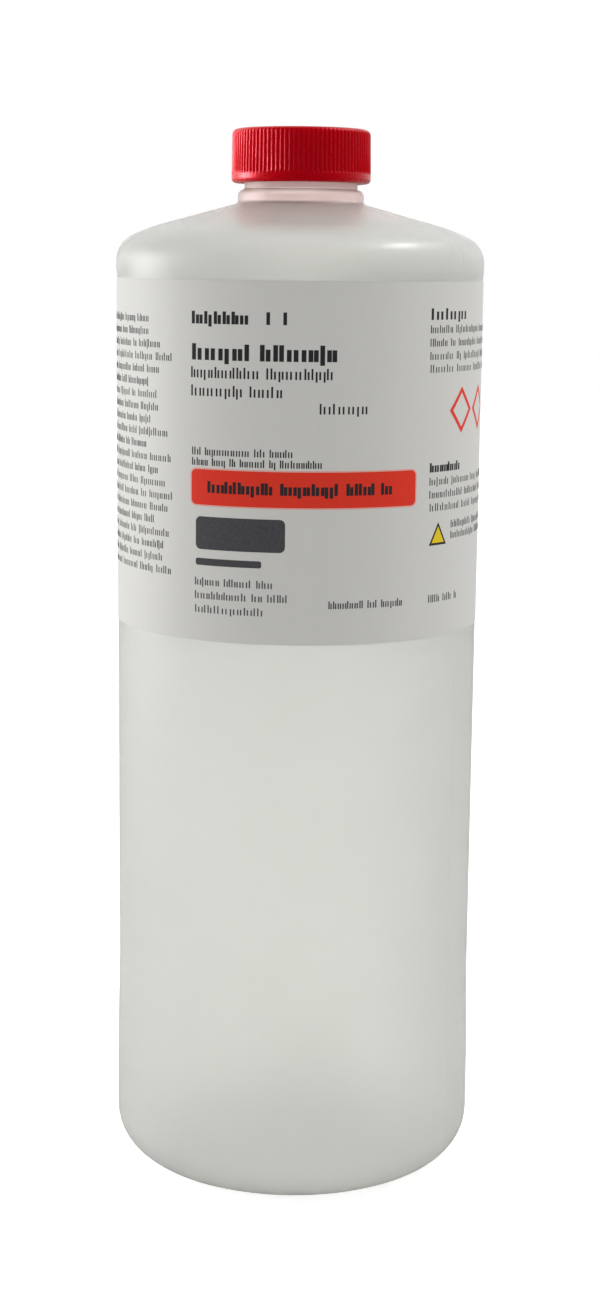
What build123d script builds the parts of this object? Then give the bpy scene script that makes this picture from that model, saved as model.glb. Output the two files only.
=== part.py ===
from build123d import *
import os
from math import cos, degrees, pi, radians, sin, tan

# One litre reagent bottle, blow moulded, with a ribbed screw cap, a foam liner
# and a wrap-around label. Millimetres, +Z up, origin at the centre of the foot.

# ---- Driving dimensions ----

# Body, outside
panel_radius = 40.8         # straight side wall that the label is stuck to
shoulder_radius = 41.0      # roll of wall above the label panel
heel_radius = 41.25         # straight band above the foot, the widest place
heel_top = 21.0
heel_blend_top = 50.0       # the heel has faded into the panel at this height
shoulder_blend_low = 203.2  # the panel begins to grow into the shoulder roll
shoulder_roll = 205.5
foot_radius = 10.0          # round corner between side wall and foot
pushup_edge = 27.0          # inner edge of the ring that the bottle stands on
pushup_height = 2.6         # how far the middle of the foot is raised
side_wall = 1.2
foot_wall = 1.5

# Shoulder, a shallow cone that rolls over a brow into the side
cone_slope = 15.5           # degrees, near the neck
brow_slope = 24.5           # degrees, outside the brow
brow_at = 33.6              # distance from the axis where the slope changes
brow_round = 38.0
corner_round = 6.3

# Neck, to the 28-400 finish
collar_radius = 14.0        # plain step under the neck
collar_foot_z = 219.5
collar_top_z = 222.5
collar_round = 1.4
collar_root_round = 0.8
neck_radius = 12.55         # neck wall, without its thread
neck_root_round = 0.2
bore_radius = 10.8
bore_root_round = 1.5
lip_z = 233.4
lip_round = 0.4

# Thread, six turns to the inch and right-handed
pitch = 25.4 / 6
thread_radius = 13.7        # crest of the ridge
thread_root_width = 2.3
thread_crest_width = 1.0
thread_turns = 1.25
thread_start_z = 225.8      # middle of the ridge where it begins, towards +X
root_sink = 0.4             # how far a ridge's root is buried in its wall

# Cap
cap_low_z = 223.9
cap_top_z = 235.6
cap_rim_radius = 15.45      # smooth rim round the open end
cap_head_radius = 15.3      # ribbed wall, at the closed end
cap_rim_height = 1.9
cap_head_round = 1.3
cap_rim_round = 0.45
cap_bore_radius = 13.95
cap_panel = 1.3             # thickness of the closed end
cap_lead_in = 0.5
rib_count = 96
groove_depth = 0.28
groove_round = 0.36         # radius of the round groove between two ribs
cap_thread_radius = 12.85   # crest of the ridge inside the cap
cap_thread_root_width = 1.9
cap_thread_crest_width = 0.7
cap_thread_turns = 1.2
cap_thread_start = 76.0     # degrees round from +X
flank_gap = 0.2             # free play between the flanks of the two threads

# Liner and label
liner_radius = 13.6
label_low_z = 126.9
label_height = 76.2
label_length = 241.0        # round the bottle; its two ends face +Y
label_thickness = 0.12
label_gap = 0.01            # keeps the label's curved face just off the wall

# ---- Worked out from the above ----

ring_edge = heel_radius - foot_radius
brow_z = collar_foot_z - (brow_at - collar_radius) * tan(radians(cone_slope))
corner_z = brow_z - (shoulder_radius - brow_at) * tan(radians(brow_slope))

heel_inside = heel_radius - side_wall
panel_inside = panel_radius - side_wall
shoulder_inside = shoulder_radius - side_wall
brow_inside_z = brow_z - side_wall / cos(radians(cone_slope))
corner_inside_z = brow_inside_z - (shoulder_inside - brow_at) * tan(radians(brow_slope))
bore_low_z = brow_inside_z + (brow_at - bore_radius) * tan(radians(cone_slope))

panel_top_z = cap_top_z - cap_panel
rib_low_z = cap_low_z + cap_rim_height
half_widths = (thread_root_width + cap_thread_crest_width) / 2
cap_thread_start_z = thread_start_z + pitch * cap_thread_start / 360 - half_widths - flank_gap
label_inside = panel_radius + label_gap
label_angle = degrees(label_length / label_inside)
facing_back = 90.0          # +Y, in degrees round from +X


def upright_plane(angle):
    """The upright plane that holds the Z axis, its own x turned from +X by angle degrees."""
    along = (cos(radians(angle)), sin(radians(angle)), 0)
    across = (sin(radians(angle)), -cos(radians(angle)), 0)
    return Plane(origin=(0, 0, 0), x_dir=along, z_dir=across)


def ridge_corners(wall_radius, crest_radius, root_width, crest_width, middle_z):
    """Corners of a thread ridge's section, with its root sunk into the wall it stands on."""
    outwards = 1 if crest_radius > wall_radius else -1
    sunk = wall_radius - outwards * root_sink
    half_root = root_width / 2
    half_crest = crest_width / 2
    return (
        (sunk, middle_z - half_root),
        (wall_radius, middle_z - half_root),
        (crest_radius, middle_z - half_crest),
        (crest_radius, middle_z + half_crest),
        (wall_radius, middle_z + half_root),
        (sunk, middle_z + half_root),
    )


# ---- Bottle: one blow-moulded shell with its neck and thread ----

with BuildPart() as bottle:
    with BuildSketch(Plane.XZ):
        with BuildLine():
            TangentArc((0, pushup_height), (pushup_edge, 0), tangent=(1, 0))
            FilletPolyline(
                (pushup_edge, 0),
                (heel_radius, 0),
                (heel_radius, heel_top),
                radius=foot_radius,
            )
            Spline(
                (heel_radius, heel_top),
                (panel_radius, heel_blend_top),
                tangents=((0, 1), (0, 1)),
            )
            Line((panel_radius, heel_blend_top), (panel_radius, shoulder_blend_low))
            Spline(
                (panel_radius, shoulder_blend_low),
                (shoulder_radius, shoulder_roll),
                tangents=((0, 1), (0, 1)),
            )
            FilletPolyline(
                (shoulder_radius, shoulder_roll),
                (shoulder_radius, corner_z),
                (brow_at, brow_z),
                (collar_radius, collar_foot_z),
                (collar_radius, collar_top_z),
                (neck_radius, collar_top_z),
                (neck_radius, lip_z),
                (0, lip_z),
                radius=(
                    corner_round,
                    brow_round,
                    collar_root_round,
                    collar_round,
                    neck_root_round,
                    lip_round,
                ),
            )
            Line((0, lip_z), (0, pushup_height))
        make_face()
        with BuildLine():
            TangentArc((0, pushup_height + foot_wall), (pushup_edge, foot_wall), tangent=(1, 0))
            FilletPolyline(
                (pushup_edge, foot_wall),
                (heel_inside, foot_wall),
                (heel_inside, heel_top),
                radius=foot_radius - side_wall,
            )
            Spline(
                (heel_inside, heel_top),
                (panel_inside, heel_blend_top),
                tangents=((0, 1), (0, 1)),
            )
            Line((panel_inside, heel_blend_top), (panel_inside, shoulder_blend_low))
            Spline(
                (panel_inside, shoulder_blend_low),
                (shoulder_inside, shoulder_roll),
                tangents=((0, 1), (0, 1)),
            )
            FilletPolyline(
                (shoulder_inside, shoulder_roll),
                (shoulder_inside, corner_inside_z),
                (brow_at, brow_inside_z),
                (bore_radius, bore_low_z),
                (bore_radius, lip_z),
                radius=(corner_round - side_wall, brow_round, bore_root_round),
            )
            Polyline(
                (bore_radius, lip_z),
                (0, lip_z),
                (0, pushup_height + foot_wall),
            )
        make_face(mode=Mode.SUBTRACT)
    revolve(axis=Axis.Z)
    with BuildLine(Plane.XY.offset(thread_start_z)):
        thread_path = Helix(pitch, thread_turns * pitch, neck_radius)
    with BuildSketch(Plane.XZ):
        with BuildLine():
            Polyline(
                *ridge_corners(
                    neck_radius,
                    thread_radius,
                    thread_root_width,
                    thread_crest_width,
                    thread_start_z,
                ),
                close=True,
            )
        make_face()
    sweep(path=thread_path, is_frenet=True)
bottle.part.label = "bottle"

# ---- Screw cap: ribbed outside, threaded inside ----

with BuildPart() as screw_cap:
    with BuildSketch(Plane.XZ):
        with BuildLine():
            FilletPolyline(
                (cap_bore_radius, cap_low_z),
                (cap_rim_radius, cap_low_z),
                (cap_rim_radius, rib_low_z),
                (cap_head_radius, cap_top_z),
                (0, cap_top_z),
                radius=(cap_rim_round, 0, cap_head_round),
            )
            Polyline(
                (0, cap_top_z),
                (0, panel_top_z),
                (cap_bore_radius, panel_top_z),
                (cap_bore_radius, cap_low_z),
            )
        make_face()
    revolve(axis=Axis.Z)
    mouth_edges = screw_cap.edges().filter_by(GeomType.CIRCLE).group_by(Axis.Z)[0]
    chamfer(mouth_edges.sort_by(SortBy.RADIUS)[0], cap_lead_in)
    with BuildSketch(Plane.XY.offset(rib_low_z)):
        with PolarLocations(cap_rim_radius - groove_depth + groove_round, rib_count):
            Circle(groove_round)
    extrude(amount=cap_top_z - rib_low_z, mode=Mode.SUBTRACT)
    with BuildLine(mode=Mode.PRIVATE) as ridge_line:
        Helix(pitch, cap_thread_turns * pitch, cap_bore_radius, center=(0, 0, cap_thread_start_z))
    with BuildSketch(upright_plane(cap_thread_start)):
        with BuildLine():
            Polyline(
                *ridge_corners(
                    cap_bore_radius,
                    cap_thread_radius,
                    cap_thread_root_width,
                    cap_thread_crest_width,
                    cap_thread_start_z,
                ),
                close=True,
            )
        make_face()
    sweep(path=ridge_line.line.rotate(Axis.Z, cap_thread_start), is_frenet=True)
screw_cap.part.label = "screw_cap"

# ---- Cap liner: a foam disc held between the cap and the lip ----

with BuildPart() as cap_liner:
    with BuildSketch(Plane.XY.offset(lip_z)):
        Circle(liner_radius)
    extrude(amount=panel_top_z - lip_z)
cap_liner.part.label = "cap_liner"

# ---- Label: one wrap-around sheet, open at the back ----

with BuildPart() as label:
    with BuildSketch(upright_plane(facing_back + (360 - label_angle) / 2)):
        with Locations((label_inside + label_thickness / 2, label_low_z + label_height / 2)):
            Rectangle(label_thickness, label_height)
    revolve(axis=Axis.Z, revolution_arc=label_angle)
label.part.label = "label"

# ---- Write one STEP for each piece ----

os.makedirs("parts", exist_ok=True)
for piece in (bottle, screw_cap, cap_liner, label):
    export_step(piece.part, f"parts/{piece.part.label}.step")
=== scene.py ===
"""A one litre reagent bottle of natural polyethylene, its ribbed red screw cap and its wrap-around label.

Lengths are typed in millimetres, as a maker would, and turned to metres when a mesh is made. +Z is up, the
origin is at the centre of the foot, and the label's middle faces -Y. Every turned piece is a closed surface
whose rows run round the Z axis, and everything printed is a thin closed plate wrapped on the label.
"""

import logging
import math
from collections.abc import Iterable, Sequence
from dataclasses import dataclass, field
from enum import Enum
from typing import Any

import bpy
import numpy as np
from mathutils import Matrix, Vector
from numpy.typing import NDArray

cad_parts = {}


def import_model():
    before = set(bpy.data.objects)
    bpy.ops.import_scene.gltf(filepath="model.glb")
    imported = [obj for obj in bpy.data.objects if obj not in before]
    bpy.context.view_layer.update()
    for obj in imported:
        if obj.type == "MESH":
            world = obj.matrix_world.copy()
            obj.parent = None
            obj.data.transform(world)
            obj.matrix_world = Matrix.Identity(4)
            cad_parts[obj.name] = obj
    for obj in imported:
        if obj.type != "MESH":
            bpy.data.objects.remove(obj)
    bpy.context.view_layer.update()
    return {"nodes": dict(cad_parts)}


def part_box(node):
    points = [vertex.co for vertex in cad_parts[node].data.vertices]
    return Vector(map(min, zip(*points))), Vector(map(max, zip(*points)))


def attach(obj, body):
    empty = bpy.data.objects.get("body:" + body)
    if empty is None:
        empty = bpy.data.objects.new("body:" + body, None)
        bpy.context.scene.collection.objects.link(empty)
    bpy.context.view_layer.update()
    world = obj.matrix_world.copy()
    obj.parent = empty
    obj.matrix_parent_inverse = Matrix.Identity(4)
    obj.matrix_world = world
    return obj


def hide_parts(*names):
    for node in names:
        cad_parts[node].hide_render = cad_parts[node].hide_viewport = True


Array = NDArray[np.float64]
SocketContents = dict[str, bpy.types.NodeSocket | float | tuple[float, ...]]

MM = 0.001  # one millimetre in metres
TURN = 2.0 * math.pi
FRONT = -0.25 * TURN  # the angle of -Y round from +X
PITCH = 25.4 / 6.0  # the thread climbs this far in a turn, in mm
THREAD_START = 225.8  # height of the middle of the neck's thread where it begins, at +X, in mm
THREAD_ROOT = 2.3  # width of the neck's thread at its root, in mm
FILM = 0.12  # thickness of the label, in mm

# The proportions of the strokes that stand for print.
CELL_WIDTHS = (0.5, 0.95, 1.05, 1.2)  # of a character, against each other; all but the first hold two strokes
WORD_SPACE = 0.7  # on the same scale
FIRST_STROKE = 0.08  # where a cell's first stroke begins, as a share of its width
SECOND_STROKE = 0.52  # where its second one does
SMALL_LETTER = 0.72  # how tall a small letter is against a capital
TAIL = 0.22  # how far below the line a tail reaches, against a capital
TAIL_CHANCE = 0.06  # how often a stroke has one

log = logging.getLogger("reagent_bottle")


class Body(Enum):
    """The moving bodies of the part, which pieces ride on."""

    BOTTLE = "bottle_body"
    CAP = "cap_body"


class Slot(Enum):
    """The record's material slots. No piece in this script is given one of them."""

    BOTTLE = "bottle_hdpe"
    CAP = "cap_polypropylene"
    LABEL = "label_film"


class Weight(Enum):
    """How heavy a line of print is: the share of its height that one upright stroke is wide."""

    LIGHT = 0.17
    REGULAR = 0.2
    BOLD = 0.29


# ---- Colours and nodes ----


def linear_colour(code: str) -> tuple[float, float, float, float]:
    """Turns an sRGB hex colour to the linear one that a shader takes.

    Args:
        code: The colour, such as "#C8102E".

    Returns:
        Red, green, blue and an alpha of one, each from 0 to 1. With c a channel's sRGB share, the linear
        one is c / 12.92 up to 0.04045 and ((c + 0.055) / 1.055) to the power 2.4 above it.
    """
    shares = [int(code[i : i + 2], 16) / 255.0 for i in (1, 3, 5)]
    red, green, blue = (c / 12.92 if c <= 0.04045 else ((c + 0.055) / 1.055) ** 2.4 for c in shares)
    return red, green, blue, 1.0


def per_metre(size_mm: float) -> float:
    """Gives the texture scale, in repeats for each metre, at which a pattern's grain is size_mm wide."""
    return 1.0 / (size_mm * MM)


def add_node(
    tree: bpy.types.NodeTree,
    kind: str,
    values: dict[str | int, Any] | None = None,
    links: dict[str | int, bpy.types.NodeSocket] | None = None,
    **settings: Any,
) -> bpy.types.Node:
    """Adds one node with its settings, constants and links.

    Args:
        tree: The node tree that it goes into.
        kind: The node's type, such as "ShaderNodeBump".
        values: A constant for each named or numbered input.
        links: The output that feeds each named or numbered input.
        settings: The node's own properties, such as operation.

    Returns:
        The new node.
    """
    node = tree.nodes.new(kind)
    for key, value in settings.items():
        setattr(node, key, value)
    for key, value in (values or {}).items():
        node.inputs[key].default_value = value
    for key, output in (links or {}).items():
        tree.links.new(output, node.inputs[key])
    return node


def add_noise(
    tree: bpy.types.NodeTree,
    place: bpy.types.NodeSocket,
    size_mm: float,
    detail: float,
    roughness: float = 0.5,
    distortion: float = 0.0,
) -> bpy.types.NodeSocket:
    """Adds a noise pattern.

    Args:
        tree: The node tree that it goes into.
        place: The coordinates that it is laid out in, in metres.
        size_mm: How wide its grain is.
        detail: How many finer layers it has.
        roughness: How strong the finer layers are.
        distortion: How much it swirls.

    Returns:
        Its level, from 0 to 1.
    """
    values = {
        "Scale": per_metre(size_mm),
        "Detail": detail,
        "Roughness": roughness,
        "Distortion": distortion,
    }
    return add_node(tree, "ShaderNodeTexNoise", values, {"Vector": place}).outputs["Fac"]


def add_range(
    tree: bpy.types.NodeTree,
    level: bpy.types.NodeSocket,
    given: tuple[float, float],
    wanted: tuple[float, float],
    kind: str = "LINEAR",
) -> bpy.types.NodeSocket:
    """Adds a map from one range of levels to another, held at both ends.

    Args:
        tree: The node tree that it goes into.
        level: What is mapped.
        given: The two levels that it is mapped from.
        wanted: What they become.
        kind: How it runs between them, such as "SMOOTHSTEP".

    Returns:
        The mapped level.
    """
    values = {"From Min": given[0], "From Max": given[1], "To Min": wanted[0], "To Max": wanted[1]}
    node = add_node(tree, "ShaderNodeMapRange", values, {"Value": level}, interpolation_type=kind)
    return node.outputs["Result"]


def add_mix(
    tree: bpy.types.NodeTree, share: bpy.types.NodeSocket, first: str, second: str
) -> bpy.types.NodeSocket:
    """Adds a mix of two colours.

    Args:
        tree: The node tree that it goes into.
        share: How much of the second colour there is, from 0 to 1.
        first: The first colour, in sRGB hex.
        second: The second colour.

    Returns:
        The mixed colour.
    """
    colours = {6: linear_colour(first), 7: linear_colour(second)}
    return add_node(tree, "ShaderNodeMix", colours, {0: share}, data_type="RGBA").outputs[2]


def add_bump(
    tree: bpy.types.NodeTree,
    height: bpy.types.NodeSocket,
    strength: float,
    depth_mm: float,
    under: bpy.types.NodeSocket | None = None,
) -> bpy.types.NodeSocket:
    """Adds fine relief.

    Args:
        tree: The node tree that it goes into.
        height: The pattern that it follows.
        strength: How much of it is felt.
        depth_mm: How deep it is.
        under: The normal of the coarser relief that it lies on, if any.

    Returns:
        The surface's normal.
    """
    links = {"Height": height} if under is None else {"Height": height, "Normal": under}
    values = {"Strength": strength, "Distance": depth_mm * MM}
    return add_node(tree, "ShaderNodeBump", values, links).outputs["Normal"]


@dataclass(frozen=True)
class Finish:
    """What a surface is made of. Each kind of finish says what goes into its shader."""

    name: str

    def material(self) -> bpy.types.Material:
        """Makes the material, and puts the finish's constants and patterns in its shader's sockets.

        Returns:
            The new material.
        """
        made = bpy.data.materials.new(self.name)
        made.use_nodes = True
        tree = made.node_tree
        tree.nodes.clear()
        shader = add_node(tree, "ShaderNodeBsdfPrincipled")
        add_node(tree, "ShaderNodeOutputMaterial", links={"Surface": shader.outputs["BSDF"]})
        place = add_node(tree, "ShaderNodeTexCoord").outputs["Object"]
        for socket, content in self.sockets(tree, place).items():
            if isinstance(content, bpy.types.NodeSocket):
                tree.links.new(content, shader.inputs[socket])
            else:
                shader.inputs[socket].default_value = content
        return made

    def sockets(self, tree: bpy.types.NodeTree, place: bpy.types.NodeSocket) -> SocketContents:
        """Adds the finish's patterns and says what goes into the shader.

        Args:
            tree: The material's node tree.
            place: The object's own coordinates, in metres.

        Returns:
            A constant or a pattern's output for each of the Principled shader's sockets that it changes.
        """
        raise NotImplementedError


@dataclass(frozen=True)
class NaturalPolyethylene(Finish):
    """Natural high density polyethylene, extrusion blow-moulded in a lightly blasted mould.

    To the eye it is a milky wall that glows with the light behind it, with a soft sheen, faint clouds where
    the wall is thicker, slow waves from the blown tube, and a fine grain from the mould.
    """

    name: str = "hdpe_natural_blow_moulded"
    tint: str = "#E9EAE6"
    cloud: str = "#E2E3DD"
    # A pink tint painted near the neck, standing in for red light from the cap, not a colour of the plastic.
    painted_cap_light: str = "#FFD2CE"
    painted_cap_light_from_mm: tuple[float, float] = (213.0, 225.0)
    clearer_from_mm: tuple[float, float] = (198.0, 220.0)
    cloud_mm: float = 26.0
    wave_mm: float = 11.0
    grain_mm: float = 0.8  # the real grain is 0.1 mm, too fine to show, so it is drawn coarser

    def sockets(self, tree: bpy.types.NodeTree, place: bpy.types.NodeSocket) -> SocketContents:
        """Gives the milky wall its glow, clouds, waves and grain, and a painted pink tint near the neck.

        Args:
            tree: The material's node tree.
            place: The object's own coordinates, in metres.

        Returns:
            What goes into the shader's sockets.
        """
        clouds = add_noise(tree, place, self.cloud_mm, 2.0, 0.4)
        colour = add_mix(tree, clouds, self.tint, self.cloud)
        height = add_node(tree, "ShaderNodeSeparateXYZ", links={0: place}).outputs["Z"]
        # The neck is thick. Its colour is tinted pink towards the cap: painted light, a stand-in for the red
        # light that the cap screwed round it throws into the milky wall.
        low, high = self.painted_cap_light_from_mm
        painted_cap_light_share = add_range(tree, height, (low * MM, high * MM), (0.0, 0.8), "SMOOTHSTEP")
        painted_cap_light = {7: linear_colour(self.painted_cap_light)}
        with_painted_cap_light = add_node(tree, "ShaderNodeMix", painted_cap_light, {0: painted_cap_light_share, 6: colour}, data_type="RGBA")
        # Shoulder and neck have nothing opaque behind them, so more of what they show is light from within.
        low, high = self.clearer_from_mm
        clearer = add_range(tree, height, (low * MM, high * MM), (0.49, 0.76), "SMOOTHSTEP")
        # The blown tube leaves waves that run up the wall, so they are four times as tall as wide.
        upright = add_node(tree, "ShaderNodeMapping", {"Scale": (1.0, 1.0, 0.25)}, {"Vector": place})
        waves = add_noise(tree, upright.outputs["Vector"], self.wave_mm, 1.0)
        grain = add_noise(tree, place, self.grain_mm, 3.0, 0.6)
        grained = add_bump(tree, grain, 0.5, 0.02, add_bump(tree, waves, 1.0, 0.05))
        return {
            "Base Color": with_painted_cap_light.outputs[2],
            "Roughness": add_range(tree, grain, (0.3, 0.7), (0.42, 0.58)),
            "IOR": 1.54,
            "Transmission Weight": clearer,
            "Coat Weight": 0.38,
            "Coat Roughness": 0.22,
            "Coat IOR": 1.5,
            "Coat Normal": grained,
            "Normal": grained,
        }


@dataclass(frozen=True)
class WallInside(Finish):
    """The inside of the same polyethylene wall, formed by air against a melt and so smooth.

    To the eye it adds no colour: it lets through what light the milky outside does, spread a little.
    """

    name: str = "hdpe_natural_inside_wall"
    tint: str = "#FBFBF8"
    ripple_mm: float = 6.0

    def sockets(self, tree: bpy.types.NodeTree, place: bpy.types.NodeSocket) -> SocketContents:
        """Gives the inside its clear skin and its slight ripple.

        Args:
            tree: The material's node tree.
            place: The object's own coordinates, in metres.

        Returns:
            What goes into the shader's sockets.
        """
        ripple = add_noise(tree, place, self.ripple_mm, 2.0)
        return {
            "Base Color": linear_colour(self.tint),
            "Roughness": add_range(tree, ripple, (0.0, 1.0), (0.3, 0.45)),
            "IOR": 1.54,
            "Transmission Weight": 1.0,
            "Normal": add_bump(tree, ripple, 0.6, 0.05),
        }


@dataclass(frozen=True)
class MouldedPolypropylene(Finish):
    """Red polypropylene, injection-moulded in a polished steel mould.

    To the eye it is a strong red with a clear gloss, a little deeper where the pigment has swirled, and with
    the gloss broken slightly by handling.
    """

    name: str = "polypropylene_red_moulded"
    colour: str = "#C6000C"
    swirl: str = "#B80008"
    gloss: str = "#FF2A50"
    swirl_mm: float = 9.0
    scuff_mm: float = 0.6

    def sockets(self, tree: bpy.types.NodeTree, place: bpy.types.NodeSocket) -> SocketContents:
        """Gives the cap its pigment, its gloss and its handling marks.

        Args:
            tree: The material's node tree.
            place: The object's own coordinates, in metres.

        Returns:
            What goes into the shader's sockets.
        """
        swirls = add_noise(tree, place, self.swirl_mm, 3.0, distortion=0.6)
        scuffs = add_noise(tree, place, self.scuff_mm, 4.0, 0.65)
        return {
            "Base Color": add_mix(tree, swirls, self.colour, self.swirl),
            "Roughness": add_range(tree, scuffs, (0.3, 0.75), (0.24, 0.36)),
            "IOR": 1.5,
            "Specular IOR Level": 1.0,
            "Specular Tint": linear_colour(self.gloss),
            "Subsurface Weight": 0.5,
            "Subsurface Radius": (1.0, 0.1, 0.1),
            "Subsurface Scale": 2.5 * MM,
            "Normal": add_bump(tree, scuffs, 0.6, 0.02),
        }


@dataclass(frozen=True)
class LabelFilm(Finish):
    """White polypropylene label film, matt coated for printing.

    To the eye it is a smooth even white with a faint tooth, and with hardly any shine.
    """

    name: str = "label_film_white_matt"
    colour: str = "#E2E1DC"
    shade: str = "#DCDBD6"
    tooth_mm: float = 0.5  # the coating's own tooth is finer, too fine to show
    glue_mm: float = 14.0

    def sockets(self, tree: bpy.types.NodeTree, place: bpy.types.NodeSocket) -> SocketContents:
        """Gives the film its white, its tooth and its slight unevenness where it is glued on.

        Args:
            tree: The material's node tree.
            place: The object's own coordinates, in metres.

        Returns:
            What goes into the shader's sockets.
        """
        tooth = add_noise(tree, place, self.tooth_mm, 3.0)
        glue = add_noise(tree, place, self.glue_mm, 1.0)
        return {
            "Base Color": add_mix(tree, tooth, self.colour, self.shade),
            "Roughness": add_range(tree, tooth, (0.3, 0.7), (0.5, 0.62)),
            "IOR": 1.47,
            "Normal": add_bump(tree, tooth, 0.3, 0.01, add_bump(tree, glue, 0.6, 0.03)),
        }


@dataclass(frozen=True)
class PrintingInk(Finish):
    """Thermal and flexographic ink, laid on the label film in one thin coat.

    To the eye it is an even colour with slight mottle where the plate pressed unevenly.
    """

    colour: str = "#1C1B1E"
    mottle: str = "#2E2D31"
    mottle_mm: float = 0.7

    def sockets(self, tree: bpy.types.NodeTree, place: bpy.types.NodeSocket) -> SocketContents:
        """Gives the ink its colour and its mottle.

        Args:
            tree: The material's node tree.
            place: The object's own coordinates, in metres.

        Returns:
            What goes into the shader's sockets.
        """
        mottles = add_noise(tree, place, self.mottle_mm, 3.0)
        return {
            "Base Color": add_mix(tree, mottles, self.colour, self.mottle),
            "Roughness": add_range(tree, mottles, (0.0, 1.0), (0.4, 0.6)),
            "IOR": 1.5,
            "Specular IOR Level": 0.25,
        }


@dataclass(frozen=True)
class LinerFoam(Finish):
    """White polyethylene foam, cut from sheet for the seal in a cap.

    To the eye it is a dull white full of fine closed cells.
    """

    name: str = "polyethylene_foam_white"
    colour: str = "#EFEEE9"
    cell_wall: str = "#FFFFFF"
    cell_mm: float = 0.5

    def sockets(self, tree: bpy.types.NodeTree, place: bpy.types.NodeSocket) -> SocketContents:
        """Gives the foam its cells.

        Args:
            tree: The material's node tree.
            place: The object's own coordinates, in metres.

        Returns:
            What goes into the shader's sockets.
        """
        scale = {"Scale": per_metre(self.cell_mm)}
        cells = add_node(tree, "ShaderNodeTexVoronoi", scale, {"Vector": place}).outputs["Distance"]
        return {
            "Base Color": add_mix(tree, cells, self.colour, self.cell_wall),
            "Roughness": 0.85,
            "Normal": add_bump(tree, cells, 0.8, 0.08),
        }


# ---- Profiles and meshes ----


def eased(share: Array) -> Array:
    """Eases a share t, held between 0 and 1, by 3t² - 2t³, which starts and ends level."""
    held = np.clip(share, 0.0, 1.0)
    return held * held * (3.0 - 2.0 * held)


@dataclass(frozen=True)
class Corner:
    """A corner of a turned profile: its distance out, its height, and the radius that rounds it, in mm."""

    out: float
    up: float
    rounding: float = 0.0


def rounded_path(corners: Sequence[Corner], arc_steps: int = 8) -> Array:
    """Joins corners with straight runs and rounds them.

    With a and b the unit directions into and out of a corner, and w the turn between them, the arc of
    radius r touches the runs r·tan(w/2) from the corner. Its points are centre + r·(u·cos k + a·sin k), with
    u the unit direction from the centre to the first touching point and k from 0 to w.

    Args:
        corners: The corners in order. The first and last are the path's ends.
        arc_steps: How many pieces each arc is cut in.

    Returns:
        The path's points, out and up, one to a row.
    """
    parts = [np.array([[corners[0].out, corners[0].up]])]
    for before, here, after in zip(corners, corners[1:], corners[2:]):
        point = np.array([here.out, here.up])
        into = point - (before.out, before.up)
        onward = np.array([after.out, after.up]) - point
        into /= np.linalg.norm(into)
        onward /= np.linalg.norm(onward)
        turn = math.acos(float(np.clip(into @ onward, -1.0, 1.0)))
        if here.rounding <= 0.0 or turn < 1e-4:
            parts.append(point[None])
            continue
        touch = point - into * here.rounding * math.tan(turn / 2)
        side = onward - into * (into @ onward)
        side /= np.linalg.norm(side)
        centre = touch + side * here.rounding
        sweep = np.linspace(0.0, turn, arc_steps + 1)[:, None]
        parts.append(centre + here.rounding * (into * np.sin(sweep) - side * np.cos(sweep)))
    parts.append(np.array([[corners[-1].out, corners[-1].up]]))
    return np.concatenate(parts)


def blend_run(low: Corner, high: Corner, steps: int) -> Array:
    """Runs from one radius to another, upright at both ends.

    Args:
        low: Where the run begins.
        high: Where it ends.
        steps: How many pieces it is cut in.

    Returns:
        Its points. At the share t of its height, out is low + (high - low)·(3t² - 2t³).
    """
    share = np.linspace(0.0, 1.0, steps + 1)
    out = low.out + (high.out - low.out) * eased(share)
    return np.stack([out, low.up + (high.up - low.up) * share], -1)


def divided(path: Array, longest: float) -> Array:
    """Divides a path's runs, so that none is longer than asked.

    Args:
        path: The path's points, out and up, one to a row.
        longest: The longest run allowed, in mm.

    Returns:
        The path with each run of length L cut in the least whole number of equal pieces above L / longest.
    """
    run = np.linalg.norm(np.diff(path, axis=0), axis=1)
    pieces = np.maximum(1, np.ceil(run / longest - 1e-6)).astype(int)
    first = np.repeat(np.cumsum(pieces) - pieces, pieces)
    share = (np.arange(pieces.sum()) - first) / np.repeat(pieces, pieces)
    place = np.append(np.repeat(np.arange(run.size), pieces) + share, run.size)
    return np.stack([np.interp(place, np.arange(len(path)), path[:, k]) for k in (0, 1)], -1)


def make_piece(
    name: str, vertices: Array, faces: Iterable[Array], crisp_above: float = 32.0
) -> bpy.types.Object:
    """Makes a smooth-shaded mesh object at the origin.

    Args:
        name: The piece's name.
        vertices: Its points in mm, one to a row.
        faces: Arrays of vertex numbers, one face to a row, turned so that the faces point outwards.
        crisp_above: Edges that turn by more than this many degrees stay crisp.

    Returns:
        The new object.
    """
    mesh = bpy.data.meshes.new(name)
    mesh.from_pydata((vertices * MM).tolist(), [], [face for rows in faces for face in rows.tolist()])
    mesh.shade_smooth()
    mesh.set_sharp_from_angle(angle=math.radians(crisp_above))
    mesh.update()
    piece = bpy.data.objects.new(name, mesh)
    bpy.context.scene.collection.objects.link(piece)
    return piece


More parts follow.
